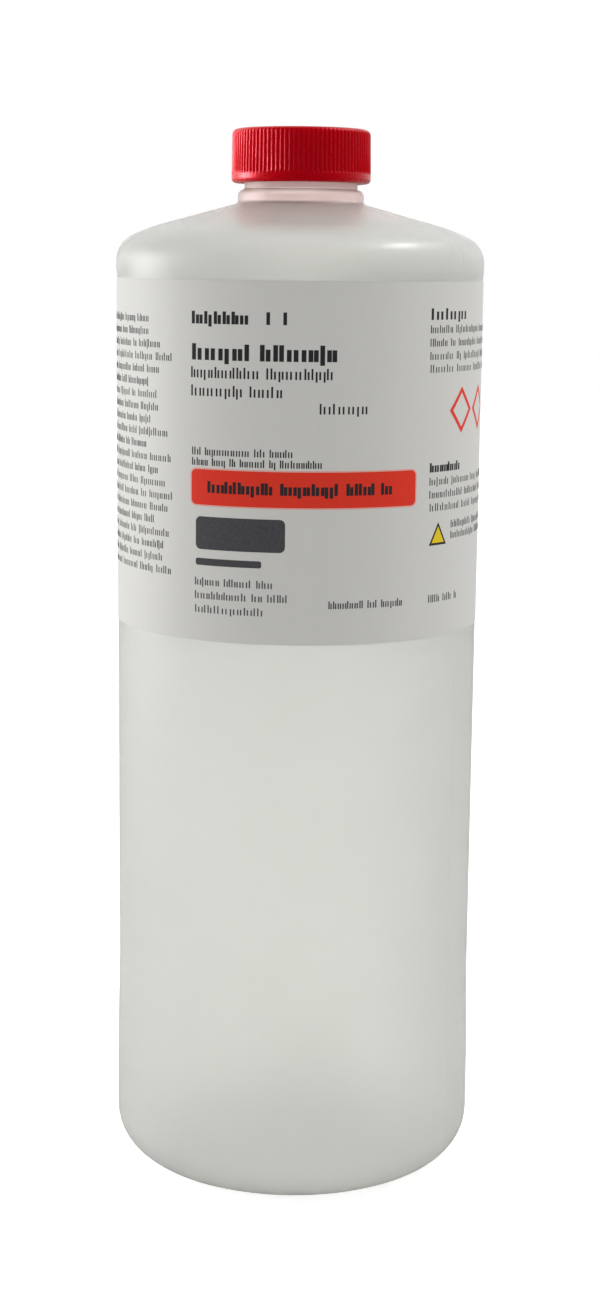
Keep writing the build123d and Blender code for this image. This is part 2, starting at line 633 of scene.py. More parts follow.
def turned_piece(name: str, out: Array, up: Array, angle: Array, crisp_above: float) -> bpy.types.Object:
    """Makes a closed turned piece from one pole to the other.

    Row i and column j stand at (out·cos angle, out·sin angle, up). The first and last rows lie on the
    axis, so each becomes one point with a fan of triangles, and quads join the rows between.

    Args:
        name: The piece's name.
        out: Distance from the axis in mm, rows by columns.
        up: Height in mm, rows by columns.
        angle: Each column's angle round from +X, in radians.
        crisp_above: Edges that turn by more than this many degrees stay crisp.

    Returns:
        The new object. Its faces point outwards where the profile climbs on the outside.
    """
    rows, columns = out.shape[0] - 2, angle.size
    ring = np.stack([out * np.cos(angle), out * np.sin(angle), up], axis=-1)[1:-1].reshape(-1, 3)
    poles = np.array([[0.0, 0.0, up[0].mean()], [0.0, 0.0, up[-1].mean()]])
    here = np.arange(rows * columns).reshape(rows, columns)
    after = np.roll(here, -1, axis=1)
    quads = np.stack([here[:-1], after[:-1], after[1:], here[1:]], axis=-1).reshape(-1, 4)
    first = np.stack([np.full(columns, rows * columns), after[0], here[0]], axis=-1)
    last = np.stack([here[-1], after[-1], np.full(columns, rows * columns + 1)], axis=-1)
    return make_piece(name, np.concatenate([ring, poles]), (quads, first, last), crisp_above)


@dataclass(frozen=True)
class ThreadRidge:
    """A right-handed thread ridge, six turns to the inch, in mm."""

    wall: float
    crest: float
    root_width: float
    crest_width: float
    turns: float
    start_up: float
    start_angle: float
    fade: float = 0.06

    def rise(self, out: Array, up: Array, angle: Array) -> Array:
        """Works out how far the ridge stands from its wall.

        With t the turns since the ridge's start, its middle is at start_up + pitch·t. Its section is a
        trapezium that is full inside half the crest's width from the middle and gone outside half the
        root's, and both its ends ease away.

        Args:
            out: The profile's distance from the axis, one for each row.
            up: The profile's height, one for each row.
            angle: Each column's angle round from +X, in radians.

        Returns:
            What to add to the distance from the axis, rows by columns.
        """
        since = ((angle - self.start_angle) / TURN) % 1.0
        best = np.zeros((up.size, angle.size))
        for lap in range(math.ceil(self.turns)):
            turn = since + lap
            away = np.abs(up[:, None] - (self.start_up + PITCH * turn))
            flank = (self.root_width - self.crest_width) / 2
            section = np.clip((self.root_width / 2 - away) / flank, 0, 1)
            ends = eased(np.minimum(turn, self.turns - turn) / self.fade)
            best = np.maximum(best, section * ends)
        on_wall = np.abs(out - self.wall) < 0.02
        return best * (self.crest - self.wall) * on_wall[:, None]


# ---- The bottle ----


@dataclass
class BottleShell:
    """The blow-moulded shell: foot, wall, shoulder, collar, threaded neck and the inside of them all."""

    foot_radius: float = 10.0
    ring_inner: float = 27.0
    pushup: float = 2.6
    heel: Corner = Corner(41.25, 21.0)
    panel_low: Corner = Corner(40.8, 50.0)
    panel_high: Corner = Corner(40.8, 203.2)
    shoulder: Corner = Corner(41.0, 205.5)
    corner_round: float = 6.3
    brow_at: float = 33.6
    brow_round: float = 38.0
    cone_slope: float = 15.5
    brow_slope: float = 24.5
    collar: Corner = Corner(14.0, 219.5, 0.8)
    collar_top: Corner = Corner(14.0, 222.5, 1.4)
    neck: Corner = Corner(12.55, 222.5, 0.3)
    bore: float = 10.8
    lip_round: float = 0.4
    thread_crest: float = 13.7
    thread_crest_width: float = 1.0
    thread_turns: float = 1.25
    side_wall: float = 1.2
    foot_wall: float = 1.5
    parting_angle: float = -31.0
    parting_rise: float = 0.07
    parting_width: float = 0.45
    parting_top: float = 221.5
    pinch_rise: float = 0.45
    pinch_width: float = 0.8
    pinch_reach: float = 21.0
    label_band: tuple[float, float] = (124.0, 206.0)
    shoulder_step: float = 3.0
    thread_step: float = 0.16
    wall_step: float = 6.0
    inside_step: float = 9.0
    columns: int = 288
    finish: NaturalPolyethylene = field(default_factory=NaturalPolyethylene)
    inside_finish: WallInside = field(default_factory=WallInside)

    def foot_run(self, floor: float) -> Array:
        """Gives the raised middle of the foot, an arc of a circle that stands level at the axis.

        With R the circle's radius, (ring² + rise²) / (2·rise), the height is
        floor + rise - R + √(R² - out²).

        Args:
            floor: The height of the arc's outer end, in mm.

        Returns:
            Points from the axis to the ring that the bottle stands on.
        """
        out = np.concatenate([[0.0, 0.5, 1.1], np.linspace(2.0, self.ring_inner, 18)])
        radius = (self.ring_inner**2 + self.pushup**2) / (2 * self.pushup)
        return np.stack([out, floor + self.pushup - radius + np.sqrt(radius**2 - out**2)], -1)

    def side_run(self, inset: float, floor: float) -> Array:
        """Gives the wall from the foot's ring to just under the shoulder.

        Args:
            inset: How far inside the outer surface the wall lies, in mm.
            floor: The height of the foot, in mm.

        Returns:
            Points from the ring up.
        """
        heel, low = self.heel.out - inset, self.panel_low.out - inset
        foot = rounded_path(
            [
                Corner(self.ring_inner, floor),
                Corner(heel, floor, self.foot_radius - inset),
                Corner(heel, self.heel.up),
            ],
            12,
        )[1:-1]
        swell = blend_run(Corner(heel, self.heel.up), Corner(low, self.panel_low.up), 12)
        shoulder = Corner(self.shoulder.out - inset, self.shoulder.up)
        roll = blend_run(Corner(low, self.panel_high.up), shoulder, 5)
        return np.concatenate([foot, swell, roll])

    def brow_up(self) -> float:
        """Gives the height at which the cone under the collar meets the steeper brow, in mm."""
        return self.collar.up - (self.brow_at - self.collar.out) * math.tan(math.radians(self.cone_slope))

    def top_run(self, lip: float) -> Array:
        """Gives the outer shoulder, the collar and the neck up to the lip's inner edge.

        Args:
            lip: The lip's height, in mm.

        Returns:
            Points from the shoulder to the bore.
        """
        drop = (self.shoulder.out - self.brow_at) * math.tan(math.radians(self.brow_slope))
        neck_foot = Corner(self.neck.out, self.neck.up + 0.6)  # just clear of the rounding at its root
        shoulder = rounded_path(
            [
                self.shoulder,
                Corner(self.shoulder.out, self.brow_up() - drop, self.corner_round),
                Corner(self.brow_at, self.brow_up(), self.brow_round),
                self.collar,
                self.collar_top,
                self.neck,
                neck_foot,
            ],
            10,
        )[1:]
        neck = rounded_path(
            [
                neck_foot,
                Corner(self.neck.out, lip, self.lip_round),
                Corner(self.bore, lip, self.lip_round),
                Corner(self.bore, lip - 0.6),
            ],
            4,
        )[1:]
        return np.concatenate([divided(shoulder, self.shoulder_step), divided(neck, self.thread_step)])

    def inside_run(self, lip: float) -> Array:
        """Gives the inside of the neck and the shoulder, from under the lip down.

        Args:
            lip: The lip's height, in mm.

        Returns:
            Points from the bore out to the shoulder's inside.
        """
        shoulder = self.shoulder.out - self.side_wall
        brow = self.brow_up() - self.side_wall / math.cos(math.radians(self.cone_slope))
        corner_up = brow - (shoulder - self.brow_at) * math.tan(math.radians(self.brow_slope))
        bore_up = brow + (self.brow_at - self.bore) * math.tan(math.radians(self.cone_slope))
        return rounded_path(
            [
                Corner(self.bore, lip - 1.2),
                Corner(self.bore, bore_up, 1.5),
                Corner(self.brow_at, brow, self.brow_round),
                Corner(shoulder, corner_up, self.corner_round - self.side_wall),
                Corner(shoulder, self.shoulder.up),
            ],
            8,
        )[:-1]

    def column_angles(self) -> Array:
        """Spreads the columns evenly, with more of them beside the two parting lines.

        Returns:
            The columns' angles round from +X, in radians.
        """
        even = np.linspace(0.0, TURN, self.columns, endpoint=False)
        near = math.radians(self.parting_angle) + np.radians(np.linspace(-1.6, 1.6, 13))
        both = np.concatenate([even, near % TURN, (near + TURN / 2) % TURN])
        return np.unique(np.round(both, 6))

    def seam_rise(self, path: Array, outer: int, angle: Array) -> Array:
        """Works out the relief that the mould leaves on the outside.

        The parting line stands parting_rise·exp(-(d / half its width)²) high at d mm round the wall from
        it, except under the label and on the neck. The pinched tube's weld is a flat bar across the foot.

        Args:
            path: The whole profile, out and up.
            outer: How many of its first rows are outside.
            angle: The columns' angles.

        Returns:
            How far each place stands out along the profile's normal, in mm, rows by columns.
        """
        out, up = path[:, :1], path[:, 1:]
        turned = angle - math.radians(self.parting_angle)
        across = np.abs(out * np.sin(turned))
        low, high = self.label_band
        # Each of these lengths, in mm, is what the relief takes to fade in or out.
        below = eased((low - up) / 2.0) * eased(up / 6.0)
        above = eased((up - high) / 1.5) * eased(self.parting_top - up)
        line = self.parting_rise * np.exp(-((2.0 * across / self.parting_width) ** 2)) * (below + above)
        under = (up < self.pushup + 0.1) * eased((self.pinch_reach - out) / 1.5)
        weld = self.pinch_rise * eased((self.pinch_width - across) / 0.3) * under
        return (line + weld) * (np.arange(len(path)) < outer)[:, None]

    def build(self) -> bpy.types.Object:
        """Builds the shell in place of the plain one.

        Returns:
            The shell, dressed and riding on its body.
        """
        low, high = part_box("bottle")
        lip = high.z / MM
        foot = self.foot_run(low.z / MM)
        side = divided(self.side_run(0.0, 0.0), self.wall_step)
        outside = np.concatenate([foot, side, self.top_run(lip)])
        inside = np.concatenate(
            [
                self.inside_run(lip),
                divided(self.side_run(self.side_wall, self.foot_wall), self.inside_step)[::-1],
                self.foot_run(self.foot_wall)[::-1],
            ]
        )
        path = np.concatenate([outside, inside])
        angle = self.column_angles()
        slope = np.gradient(path, axis=0)
        normal = np.stack([slope[:, 1], -slope[:, 0]], -1) / np.linalg.norm(slope, axis=1)[:, None]
        relief = self.seam_rise(path, len(outside), angle)
        thread = ThreadRidge(
            self.neck.out,
            self.thread_crest,
            THREAD_ROOT,
            self.thread_crest_width,
            self.thread_turns,
            THREAD_START,
            0.0,
        )
        out = path[:, :1] + relief * normal[:, :1] + thread.rise(path[:, 0], path[:, 1], angle)
        piece = turned_piece("bottle_shell", out, path[:, 1:] + relief * normal[:, 1:], angle, 40.0)
        settle(piece, self.finish.material(), Body.BOTTLE, "bottle")
        piece.data.materials.append(self.inside_finish.material())
        # Quads come first, from the foot's outside round to its inside, then the outer and the inner fan.
        count = len(piece.data.polygons)
        face = np.arange(count)
        is_fan = face >= count - 2 * angle.size
        inner = np.where(is_fan, face >= count - angle.size, face >= (len(outside) - 1) * angle.size)
        piece.data.polygons.foreach_set("material_index", inner.astype(np.int32))
        return piece


# ---- The cap ----


@dataclass
class RibbedCap:
    """The screw cap: ribbed outside, smooth at its rim, threaded inside."""

    rim: float = 15.45
    head: float = 15.3
    rim_height: float = 1.9
    rim_round: float = 0.95
    head_round: float = 1.3
    bore: float = 13.95
    ceiling_round: float = 0.5
    thread_step: float = 0.25
    panel: float = 1.3
    ribs: int = 96
    columns_per_rib: int = 8
    groove_depth: float = 0.28
    crest_power: float = 1.6
    run_out: float = 0.5
    head_clear: float = 0.25
    head_run_out: float = 0.9
    gate_radius: float = 1.6
    gate_depth: float = 0.25
    lead_in: float = 0.5
    thread_crest: float = 12.85
    thread_root_width: float = 1.9
    thread_crest_width: float = 0.7
    thread_turns: float = 1.2
    thread_angle: float = 76.0
    flank_gap: float = 0.2
    finish: MouldedPolypropylene = field(default_factory=MouldedPolypropylene)

    def profile(self, low: float, high: float) -> Array:
        """Gives the cap's section, from the inside of its closed end round its rim to the top.

        Args:
            low: The height of the open end, in mm.
            high: The height of the closed end's top, in mm.

        Returns:
            Points out and up, from the axis to the axis.
        """
        ceiling = high - self.panel
        mouth = Corner(self.bore + self.lead_in, low)
        inside = rounded_path(
            [
                Corner(0.0, ceiling),
                Corner(self.bore, ceiling, self.ceiling_round),
                Corner(self.bore, low + self.lead_in),
                mouth,
            ],
            4,
        )
        outside = rounded_path(
            [
                mouth,
                Corner(self.rim, low, self.rim_round),
                Corner(self.rim, low + self.rim_height),
                Corner(self.head, high, self.head_round),
                Corner(self.gate_radius + 1.0, high),
            ],
            7,
        )[1:]
        gate = np.array([[self.gate_radius, high], [self.gate_radius - 0.3, high - self.gate_depth]])
        crown = np.array([[0.0, high - self.gate_depth]])
        is_flat = inside[:, 1] > ceiling - self.ceiling_round - 0.1  # with its rounding
        flat, wall = inside[is_flat], inside[~is_flat]
        threaded = divided(np.concatenate([flat[-1:], wall]), self.thread_step)[1:]
        return np.concatenate([flat, threaded, outside, gate, crown])

    def groove(self, path: Array, low: float, high: float, first: int, angle: Array) -> Array:
        """Works out how deep the grooves between the ribs are.

        At an angle k the groove is depth·|cos(ribs·k / 2)|, the cosine raised to a power that leaves
        narrow rounded crests. It runs out at the smooth rim and over the rounded head.

        Args:
            path: The cap's section.
            low: The height of its open end, in mm.
            high: The height of its top, in mm.
            first: The first row that is outside.
            angle: The columns' angles.

        Returns:
            The depth in mm, rows by columns.
        """
        up = path[:, 1:]
        wave = np.abs(np.cos(angle * self.ribs / 2.0)) ** self.crest_power
        foot = eased((up - low - self.rim_height) / self.run_out)
        ends = foot * eased((high - self.head_clear - up) / self.head_run_out)
        outer = (np.arange(len(path)) >= first)[:, None]
        return self.groove_depth * wave * ends * outer

    def thread(self) -> ThreadRidge:
        """Lays the cap's thread just under the neck's, with a little play between them.

        Returns:
            The cap's thread.
        """
        climbed = PITCH * self.thread_angle / 360.0
        middle = THREAD_START + climbed - (THREAD_ROOT + self.thread_crest_width) / 2 - self.flank_gap
        return ThreadRidge(
            self.bore,
            self.thread_crest,
            self.thread_root_width,
            self.thread_crest_width,
            self.thread_turns,
            middle,
            math.radians(self.thread_angle),
        )

    def with_rib_rows(self, path: Array, low: float, first: int) -> Array:
        """Adds rows to the section where the grooves run out, so that they do so smoothly.

        Args:
            path: The cap's section.
            low: The height of its open end, in mm.
            first: The first row that is outside.

        Returns:
            The section with five more rows, evenly spread along the one straight run above the rim.
        """
        rim_top = low + self.rim_height
        rib_rows = np.linspace(rim_top, rim_top + 2 * self.run_out, 6)[1:]
        after = int(np.flatnonzero((np.arange(len(path)) > first) & (path[:, 1] > rib_rows[-1]))[0])
        share = (rib_rows - path[after - 1, 1]) / (path[after, 1] - path[after - 1, 1])
        extra = path[after - 1] + share[:, None] * (path[after] - path[after - 1])
        return np.insert(path, after, extra, axis=0)

    def build(self) -> bpy.types.Object:
        """Builds the cap in place of the plain one.

        Returns:
            The cap, dressed and riding on its body.
        """
        box_low, box_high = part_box("screw_cap")
        low, high = box_low.z / MM, box_high.z / MM
        path = self.profile(low, high)
        first = int(np.argmin(path[:, 1])) + 1
        path = self.with_rib_rows(path, low, first)
        angle = np.linspace(0.0, TURN, self.ribs * self.columns_per_rib, endpoint=False)
        ridge = self.thread().rise(path[:, 0], path[:, 1], angle)
        out = path[:, :1] + ridge - self.groove(path, low, high, first, angle)
        up = np.broadcast_to(path[:, 1:], out.shape)
        piece = turned_piece("ribbed_cap", out, up, angle, 50.0)
        return settle(piece, self.finish.material(), Body.CAP, "screw_cap")


# ---- The label and its print ----


@dataclass
class Wrap:
    """Lays plates on the label. A place is s mm round from the front, towards +X, and a height in mm."""

    radius: float

    def plates(
        self, along: Array, low: Array, high: Array, inner: float, outer: float
    ) -> tuple[Array, Array]:
        """Works out closed plates that curve with the label.

        A plate is a row of columns. Each column has four points, at its low and high edges on the inner
        and outer radius, and stands at the angle s / radius from the front. Quads join the columns, and
        one quad closes each end.

        Args:
            along: Each column's s, plates by columns.
            low: Each column's low edge.
            high: Each column's high edge.
            inner: The plates' inner radius, in mm.
            outer: Their outer radius, in mm.

        Returns:
            The points, and the quads as numbers of points.
        """
        angle = FRONT + along / self.radius
        out = np.array([inner, outer, outer, inner])
        up = np.stack([low, low, high, high], axis=-1)
        points = np.stack(
            [np.cos(angle)[..., None] * out, np.sin(angle)[..., None] * out, up], axis=-1
        )
        number, columns = along.shape
        index = np.arange(number * columns * 4).reshape(number, columns, 4)
        side = np.roll(index, -1, axis=2)
        walls = np.stack([index[:, :-1], index[:, 1:], side[:, 1:], side[:, :-1]], axis=-1).reshape(-1, 4)
        ends = np.concatenate([index[:, 0], index[:, -1, ::-1]])
        return points.reshape(-1, 3), np.concatenate([walls, ends])


@dataclass
class WrapLabel:
    """The blank label: one thin sheet, open at the back, with slightly rounded corners."""

    length: float = 241.0
    corner: float = 1.5
    columns: int = 220
    finish: LabelFilm = field(default_factory=LabelFilm)

    def sizes(self) -> tuple[float, float, float]:
        """Gives the label's low edge, high edge and outer radius in mm, from its box in the frame."""
        low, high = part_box("label")
        return low.z / MM, high.z / MM, high.x / MM

    def build(self) -> bpy.types.Object:
        """Builds the label in place of the plain one.

        At d mm from an end, inside its rounded corner, each edge lies c - √(c² - (c - d)²) further in,
        with c the corner's radius.

        Returns:
            The label, dressed and riding on its body.
        """
        low, high, outer = self.sizes()
        half = self.length / 2
        rounding = half - self.corner * (1 - np.sin(np.linspace(0.05, TURN / 4, 9)))
        inside = np.linspace(-half + self.corner, half - self.corner, self.columns)
        along = np.unique(np.concatenate([-rounding, inside, rounding]))
        reach = np.clip(np.abs(along) - (half - self.corner), 0.0, self.corner)
        trim = self.corner - np.sqrt(self.corner**2 - reach**2)
        inner = outer - FILM
        edges = (low + trim)[None], (high - trim)[None]
        points, quads = Wrap(inner).plates(along[None], *edges, inner, outer)
        piece = make_piece("wrap_label", points, (quads,), 30.0)
        return settle(piece, self.finish.material(), Body.BOTTLE, "label")


@dataclass(frozen=True)
class PrintLine:
    """One line of stand-in print: its two ends, its foot, its height and the lengths of its words."""

    start: float
    end: float
    foot: float
    height: float
    words: tuple[int, ...]
    weight: Weight = Weight.REGULAR

    def strokes(self, seed: int) -> tuple[Array, Array, Array]:
        """Draws each word as upright strokes of uneven heights, which stand for print without being any.

        Each character is one stroke in a narrow cell or two in a wider one, and a word space is a cell.
        The cells are stretched to fill the line. A stroke is as tall as small letters, now and then as
        tall as capitals, and now and then it reaches a little below the line.

        Args:
            seed: What the uneven heights and widths start from.

        Returns:
            The strokes' ends round the label, and their low and high edges, each strokes by two.
        """
        chance = np.random.default_rng(seed)
        letters = sum(self.words)
        gaps = len(self.words) - 1
        is_letter = np.ones(letters + gaps, dtype=bool)
        is_letter[np.cumsum([n + 1 for n in self.words])[:-1] - 1] = False
        cell = np.where(is_letter, chance.choice(CELL_WIDTHS, is_letter.size), WORD_SPACE)
        edge = np.concatenate([[0.0], np.cumsum(cell)])
        edge = self.start + edge / edge[-1] * (self.end - self.start)
        left, wide = edge[:-1][is_letter], np.diff(edge)[is_letter]
        thick = self.height * self.weight.value
        double = cell[is_letter] > min(CELL_WIDTHS)
        begin = np.concatenate([left + wide * FIRST_STROKE, (left + wide * SECOND_STROKE)[double]])
        first = np.cumsum([0, *self.words[:-1]])
        tall = chance.choice([SMALL_LETTER, SMALL_LETTER, SMALL_LETTER, 1.0], begin.size)
        tall[first] = 1.0
        deep = np.where(chance.random(begin.size) < TAIL_CHANCE, -TAIL, 0.0)
        low = self.foot + self.height * deep
        high = self.foot + self.height * tall
        return (
            np.stack([begin, begin + thick], -1),
            np.stack([low, low], -1),
            np.stack([high, high], -1),
        )


def small_print(start: float, end: float, foot: float, words: tuple[int, ...]) -> PrintLine:
    """Gives a line of the label's small print."""
    return PrintLine(start, end, foot, 1.65, words, Weight.LIGHT)


@dataclass
class LabelPrint:
    """Everything printed on the label, as plain strokes, bars and empty signs that say nothing.

    Each ink is one piece, a set of plates whose foot is in the label and whose face is just proud of it.
    """

    outer: float
    proud: float = 0.02
    sunk: float = 0.06
    hair: float = 0.005
    ink_step: float = 0.012
    black: PrintingInk = PrintingInk("ink_black_thermal")
    grey: PrintingInk = PrintingInk("ink_grey_flexographic", "#3F3E42", "#56555A")
    red: PrintingInk = PrintingInk("ink_red_flexographic", "#F23A22", "#EA321D")
    pale: PrintingInk = PrintingInk("ink_pale_flexographic", "#F2B8AE", "#EFAEA3")
    yellow: PrintingInk = PrintingInk("ink_yellow_flexographic", "#F8DA12", "#F0CE0C")
    side_column_start: float = -92.0
    side_column_top: float = 194.0
    side_column_step: float = 2.68
    side_ends: tuple[float, ...] = (
        -36.7, -36.7, -32.8, -29.1, -33.1, -37.0, -33.9, -33.4, -36.2, -30.4, -37.8,
        -29.4, -33.5, -31.2, -28.8, -30.3, -34.8, -30.0, -31.8, -32.0, -29.3,
    )  # fmt: skip

    def side_column(self) -> list[PrintLine]:
        """Sets the long column of small print on the left, with its ragged right edge.

        Returns:
            Its lines, from the top.
        """
        words = (
            (7, 4, 9, 3, 6, 8, 5, 4),
            (5, 8, 2, 7, 4, 7, 3, 9),
            (9, 3, 6, 5, 8, 6, 2, 7),
            (4, 6, 10, 4, 3, 8, 6, 5),
        )
        feet = self.side_column_top - self.side_column_step * np.arange(len(self.side_ends))
        return [
            small_print(self.side_column_start, end, float(foot), words[row % len(words)])
            for row, (end, foot) in enumerate(zip(self.side_ends, feet))
        ]

    def right_column(self) -> list[PrintLine]:
        """Sets the short groups of print on the right.

        Returns:
            Their lines, from the top.
        """
        return [
            PrintLine(30.4, 44.2, 195.1, 2.4, (6,), Weight.BOLD),
            small_print(30.3, 84.0, 192.3, (6, 9, 4, 8, 9, 3)),
            small_print(30.3, 79.0, 189.5, (5, 2, 7, 4, 5, 8, 2)),
            small_print(30.3, 86.0, 186.7, (5, 2, 7, 3, 6, 8, 4)),
            small_print(30.4, 81.0, 184.0, (5, 6, 5, 2, 6, 8)),
            PrintLine(30.8, 42.0, 162.8, 2.0, (8,), Weight.BOLD),
            small_print(30.8, 78.0, 160.0, (5, 7, 3, 6, 4, 5)),
            small_print(30.9, 74.0, 157.2, (9, 7, 3, 6, 4)),
            small_print(31.0, 76.0, 154.4, (8, 3, 4, 7, 6)),
            small_print(38.6, 72.0, 150.4, (8, 6, 7, 3)),
            small_print(38.6, 70.0, 148.0, (10, 9, 4)),
            small_print(31.2, 41.9, 134.6, (4, 3, 1)),
        ]

    def front_lines(self) -> list[PrintLine]:
        """Sets the print at the front: number, heading, two lines below it and the small notes.

        Returns:
            Its lines, from the top.
        """
        return [
            PrintLine(-23.9, -10.4, 194.0, 2.6, (7,), Weight.BOLD),
            PrintLine(-7.0, -2.0, 194.0, 2.6, (1, 1), Weight.BOLD),
            PrintLine(-24.0, 8.1, 186.5, 3.4, (5, 7), Weight.BOLD),
            PrintLine(-24.1, 7.3, 182.8, 2.3, (10, 10), Weight.LIGHT),
            PrintLine(-24.1, -3.1, 179.0, 2.3, (7, 5), Weight.LIGHT),
            PrintLine(4.2, 15.1, 175.7, 2.2, (6,), Weight.LIGHT),
            small_print(-23.8, -0.9, 166.6, (3, 10, 3, 5)),
            small_print(-23.8, 5.2, 164.4, (4, 3, 2, 5, 2, 9)),
        ]

    def address_lines(self) -> list[PrintLine]:
        """Sets the small print under the mark.

        Returns:
            Its lines, from the top.
        """
        return [
            small_print(-23.0, -4.9, 138.9, (5, 6, 3)),
            small_print(-23.0, -1.9, 136.0, (10, 2, 5)),
            small_print(-22.9, -6.9, 133.0, (12,)),
            small_print(6.6, 23.9, 134.7, (8, 2, 5)),
        ]

    def lines_piece(
        self, name: str, lines: Sequence[PrintLine], ink: PrintingInk, seed: int
    ) -> bpy.types.Object:
        """Makes one piece of all the strokes in some lines.

        Args:
            name: The piece's name.
            lines: The lines.
            ink: What they are printed in.
            seed: What the strokes' unevenness starts from.

        Returns:
            The piece, dressed and riding with the label.
        """
        parts = [line.strokes(seed + row) for row, line in enumerate(lines)]
        along, low, high = (np.concatenate([part[k] for part in parts]) for k in range(3))
        return self.plate_piece(name, [(along, low, high)], ink)

    def plate_piece(
        self, name: str, plates: Sequence[tuple[Array, Array, Array]], ink: PrintingInk, lift: float = 0.0
    ) -> bpy.types.Object:
        """Makes one piece of several groups of plates.

        Args:
            name: The piece's name.
            plates: Groups of plates: s, low edge and high edge, each plates by columns.
            ink: What they are printed in.
            lift: How much further out they stand than ink laid straight on the label, in mm.

        Returns:
            The piece, dressed and riding with the label.
        """
        wrap = Wrap(self.outer - FILM)
        foot, face = self.outer - self.sunk, self.outer + self.proud + lift
        points, faces, count = [], [], 0
        for along, low, high in plates:
            some, quads = wrap.plates(along, low, high, foot, face)
            points.append(some)
            faces.append(quads + count)
            count += len(some)
        piece = make_piece(name, np.concatenate(points), faces, 30.0)
        return settle(piece, ink.material(), Body.BOTTLE)

    def rounded_bar(
        self, start: float, end: float, foot: float, top: float, corner: float
    ) -> tuple[Array, Array, Array]:
        """Gives a bar with rounded corners, by the same arc as the label's own corners.

        Args:
            start: The bar's left end, in mm round the label.
            end: Its right end.
            foot: Its low edge.
            top: Its high edge.
            corner: The radius of its corners.

        Returns:
            Its s, low edge and high edge, one plate by its columns.
        """
        arc = corner * (1 - np.cos(np.linspace(0.15, TURN / 4, 7)))
        inside = np.linspace(start + corner, end - corner, max(3, int(end - start)))
        along = np.unique(np.concatenate([start + arc, inside, end - arc]))
        reach = corner - np.minimum(np.minimum(along - start, end - along), corner)
        trim = corner - np.sqrt(corner**2 - reach**2)
        return along[None], (foot + trim)[None], (top - trim)[None]

    def diamond(
        self, middle: float, centre: float, half: float, stroke: float
    ) -> tuple[Array, Array, Array]:
        """Gives an empty diamond standing on its point, as an upper and a lower half.

        At s, its outer edge is half + stroke / 2 - |s - middle| above or below the centre, and its inner
        edge is a stroke nearer. A hair's breadth is left between the halves, and at their two ends.

        Args:
            middle: Where its middle is, in mm round the label.
            centre: The height of its centre.
            half: Half the width and height of the stroke's middle line.
            stroke: How tall a cut straight up through the stroke is.

        Returns:
            Its s, low edge and high edge, two plates by their columns.
        """
        reach = half + stroke / 2
        side = np.concatenate([np.linspace(0.0, reach - stroke, 6), [half, reach]])
        away = np.concatenate([-side[:0:-1], side])
        far = np.maximum(reach - np.abs(away), 3 * self.hair)
        near = np.maximum(reach - stroke - np.abs(away), self.hair)
        return (
            np.stack([middle + away] * 2),
            np.stack([centre + near, centre - far]),
            np.stack([centre + far, centre - near]),
        )

    def triangle(self, start: float, end: float, foot: float, top: float) -> tuple[Array, Array, Array]:
        """Gives a filled triangle standing on its side: its top edge climbs evenly to the middle.

        Args:
            start: Its left corner, in mm round the label.
            end: Its right corner.
            foot: The height of its foot.
            top: The height of its upper corner.

        Returns:
            Its s, low edge and high edge, one plate by its columns.
        """
        along = np.linspace(start, end, 13)
        rise = 1.0 - np.abs(2.0 * (along - start) / (end - start) - 1.0)
        return along[None], np.full((1, along.size), foot), (foot + 0.02 + (top - foot) * rise)[None]

    def build(self) -> list[bpy.types.Object]:
        """Builds one piece for each group of print.

        Returns:
            The pieces, dressed and riding with the label.
        """
        mark = [
            self.rounded_bar(-22.7, -2.6, 146.6, 153.6, 1.2),
            self.rounded_bar(-22.7, -7.6, 143.2, 144.7, 0.5),
        ]
        band = self.rounded_bar(-23.8, 26.8, 156.1, 163.6, 1.2)
        band_edge = self.rounded_bar(-24.1, 27.1, 155.8, 163.9, 1.4)
        diamonds = [self.diamond(middle, 175.7, 4.35, 1.3) for middle in (42.4, 53.4)]
        triangle = self.triangle(31.9, 36.1, 147.5, 151.0)
        triangle_edge = self.triangle(31.1, 36.9, 147.0, 151.9)
        return [
            self.lines_piece("print_side_column", self.side_column(), self.black, 100),
            self.lines_piece("print_right_column", self.right_column(), self.black, 200),
            self.lines_piece("print_front", self.front_lines(), self.black, 300),
            self.plate_piece("print_band_edge", [band_edge], self.pale),
            self.plate_piece("print_band", [band], self.red, self.ink_step),
            self.band_words(),
            self.plate_piece("print_mark", mark, self.grey),
            self.lines_piece("print_address", self.address_lines(), self.grey, 500),
            self.plate_piece("print_diamonds", diamonds, self.red),
            self.plate_piece("print_triangle_edge", [triangle_edge], self.black),
            self.plate_piece("print_triangle", [triangle], self.yellow, self.ink_step),
        ]

    def band_words(self) -> bpy.types.Object:
        """Prints the bold line on the red band, far enough out to lie on its ink."""
        line = PrintLine(-20.0, 20.8, 158.7, 2.5, (9, 7, 4, 3), Weight.BOLD)
        return self.plate_piece("print_band_line", [line.strokes(400)], self.black, 2 * self.ink_step)


# ---- Settling pieces in the frame ----


def settle(
    piece: bpy.types.Object, material: bpy.types.Material, body: Body, node: str | None = None
) -> bpy.types.Object:
    """Dresses a piece and ties it to the frame.

    Args:
        piece: The piece, in place.
        material: Its material.
        body: The body that it rides on.
        node: The CAD node that it stands for, if any.

    Returns:
        The piece.
    """
    piece.data.materials.append(material)
    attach(piece, body.value)
    if node:
        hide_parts(node)
    return piece


@dataclass
class FoamLiner:
    """The foam disc in the cap, whose plain shape is already right, so that only its finish is new."""

    finish: LinerFoam = field(default_factory=LinerFoam)

    def dress(self, node: bpy.types.Object) -> None:
        """Gives the disc its foam."""
        node.data.materials.clear()
        node.data.materials.append(self.finish.material())


# ---- Studio ----


